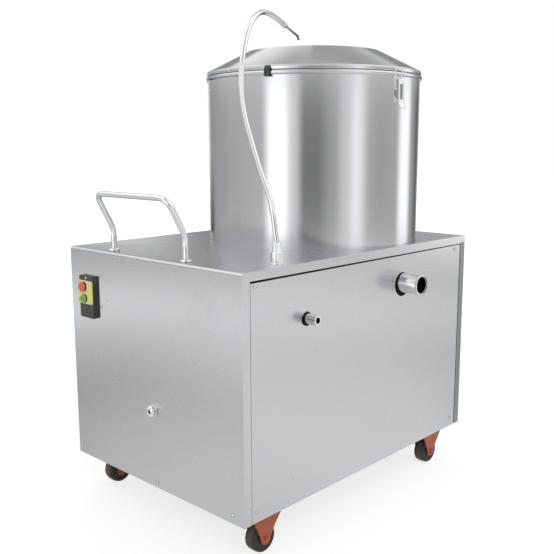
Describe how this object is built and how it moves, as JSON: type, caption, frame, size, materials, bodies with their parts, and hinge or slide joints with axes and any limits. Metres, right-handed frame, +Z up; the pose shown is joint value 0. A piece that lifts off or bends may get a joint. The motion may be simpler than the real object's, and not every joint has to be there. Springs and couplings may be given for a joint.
{
  "type": "electric potato peeler",
  "caption": "Floor-standing potato peeler: steel cabinet on castors, round drum with a clamped feed cone, water spout, push handle, belt-driven abrasive disc and side door.",
  "frame": {"origin": "on the floor under the middle of the whole machine's outline", "axes": "+X from the push-handle end to the drum end, +Y from the front panel with the water pipes to the rear panel, +Z up"},
  "size_m": [0.747, 0.544, 0.9613],
  "materials": {
    "brushed_steel": "satin stainless with a fine vertical brush",
    "polished_steel": "bright stainless, brushed round the drum",
    "chrome": "polished",
    "frame_paint": "satin grey paint",
    "caster_paint": "red-brown primer paint",
    "wheel_rubber": "matt moulded rubber",
    "black_rubber": "matt",
    "black_plastic": "satin moulded",
    "yellow_plastic": "gloss",
    "red_plastic": "gloss",
    "green_plastic": "gloss",
    "abrasive": "coarse silicon carbide grit in resin",
    "cast_iron": "as cast with turned faces",
    "shaft_steel": "turned",
    "motor_paint": "blue-grey enamel"
  },
  "bodies": {
    "frame": {"cabinet_shell": "brushed_steel", "front_panel": "brushed_steel", "rear_panel": "brushed_steel", "base_frame": "frame_paint", "push_handle": "chrome", "inlet_pipe": "polished_steel", "feed_hose": "black_rubber", "switch_housing": "black_plastic", "switch_plate": "yellow_plastic", "cable_gland": "chrome", "drive_belt": "black_rubber", "caster_fork_front_left": "caster_paint", "caster_fork_front_right": "caster_paint", "caster_fork_rear_left": "caster_paint", "caster_fork_rear_right": "caster_paint", "drum_shell": "polished_steel", "waste_pan": "brushed_steel", "abrasive_liner": "abrasive", "feed_cone": "polished_steel", "waste_pipe": "polished_steel", "door_frame": "brushed_steel", "door_hinge_pin": "chrome", "discharge_chute": "brushed_steel", "bearing_housing": "cast_iron", "upper_bearing": "chrome", "lower_bearing": "chrome", "latch_base_front": "chrome", "latch_keeper_front": "chrome", "latch_base_rear": "chrome", "latch_keeper_rear": "chrome", "cone_claw_left": "black_plastic", "cone_claw_right": "black_plastic", "spout_base": "chrome", "motor_body": "motor_paint", "motor_bracket": "frame_paint"},
    "disc": {"abrasive_disc": "abrasive", "disc_cap": "polished_steel", "main_shaft": "shaft_steel", "driven_pulley": "cast_iron"},
    "motor_rotor": {"motor_shaft": "shaft_steel", "motor_pulley": "cast_iron"},
    "spout": {"spout_tube": "chrome", "spout_nozzle": "chrome"},
    "door": {"discharge_door": "brushed_steel", "door_gasket": "black_rubber", "door_knob": "black_plastic"},
    "latch_lever_front": {"latch_lever_front": "chrome"},
    "latch_bail_front": {"latch_bail_front": "chrome"},
    "latch_lever_rear": {"latch_lever_rear": "chrome"},
    "latch_bail_rear": {"latch_bail_rear": "chrome"},
    "stop_button": {"stop_button": "red_plastic"},
    "start_button": {"start_button": "green_plastic"},
    "wheel_front_left": {"caster_wheel_front_left": "wheel_rubber"},
    "wheel_front_right": {"caster_wheel_front_right": "wheel_rubber"},
    "wheel_rear_left": {"caster_wheel_rear_left": "wheel_rubber"},
    "wheel_rear_right": {"caster_wheel_rear_right": "wheel_rubber"}
  },
  "joints": [
    {"name": "disc_spin", "type": "hinge", "parent": "frame", "child": "disc", "pos_m": [0.10178, 0.007, 0.52], "axis": [0, 0, 1], "continuous": true},
    {"name": "motor_spin", "type": "hinge", "parent": "frame", "child": "motor_rotor", "pos_m": [-0.21322, 0.007, 0.195], "axis": [0, 0, 1], "continuous": true},
    {"name": "spout_swivel", "type": "hinge", "parent": "frame", "child": "spout", "pos_m": [-0.23722, -0.203, 0.519], "axis": [0, 0, 1], "range_deg": [-45, 90]},
    {"name": "door_swing", "type": "hinge", "parent": "frame", "child": "door", "pos_m": [0.33808, -0.068, 0.616], "axis": [0, 0, -1], "range_deg": [0, 110]},
    {"name": "latch_lever_front_swing", "type": "hinge", "parent": "frame", "child": "latch_lever_front", "pos_m": [0.08458, -0.22436, 0.84], "axis": [-0.9973, 0.0741, 0], "range_deg": [0, 90]},
    {"name": "latch_bail_front_swing", "type": "hinge", "parent": "latch_lever_front", "child": "latch_bail_front", "pos_m": [0.08464, -0.22356, 0.826], "axis": [-0.9973, 0.0741, 0], "range_deg": [-61, 0]},
    {"name": "latch_lever_rear_swing", "type": "hinge", "parent": "frame", "child": "latch_lever_rear", "pos_m": [0.11897, 0.23836, 0.84], "axis": [0.9973, -0.0741, 0], "range_deg": [0, 90]},
    {"name": "latch_bail_rear_swing", "type": "hinge", "parent": "latch_lever_rear", "child": "latch_bail_rear", "pos_m": [0.11891, 0.23756, 0.826], "axis": [0.9973, -0.0741, 0], "range_deg": [-61, 0]},
    {"name": "stop_press", "type": "slide", "parent": "frame", "child": "stop_button", "axis": [1, 0, 0], "range_m": [0, 0.004], "stiffness_N_per_m": 400},
    {"name": "start_press", "type": "slide", "parent": "frame", "child": "start_button", "axis": [1, 0, 0], "range_m": [0, 0.00175], "stiffness_N_per_m": 400},
    {"name": "wheel_front_left_spin", "type": "hinge", "parent": "frame", "child": "wheel_front_left", "pos_m": [-0.27422, -0.194, 0.02765], "axis": [0, 1, 0], "continuous": true},
    {"name": "wheel_front_right_spin", "type": "hinge", "parent": "frame", "child": "wheel_front_right", "pos_m": [0.26877, -0.194, 0.02765], "axis": [0, 1, 0], "continuous": true},
    {"name": "wheel_rear_left_spin", "type": "hinge", "parent": "frame", "child": "wheel_rear_left", "pos_m": [-0.27422, 0.238, 0.02765], "axis": [0, 1, 0], "continuous": true},
    {"name": "wheel_rear_right_spin", "type": "hinge", "parent": "frame", "child": "wheel_rear_right", "pos_m": [0.26877, 0.238, 0.02765], "axis": [0, 1, 0], "continuous": true}
  ],
  "couplings": [
    {"joint": "motor_spin", "follows": "disc_spin", "ratio": 4},
    {"joint": "latch_bail_front_swing", "follows": "latch_lever_front_swing", "ratio": -0.67},
    {"joint": "latch_bail_rear_swing", "follows": "latch_lever_rear_swing", "ratio": -0.67}
  ]
}
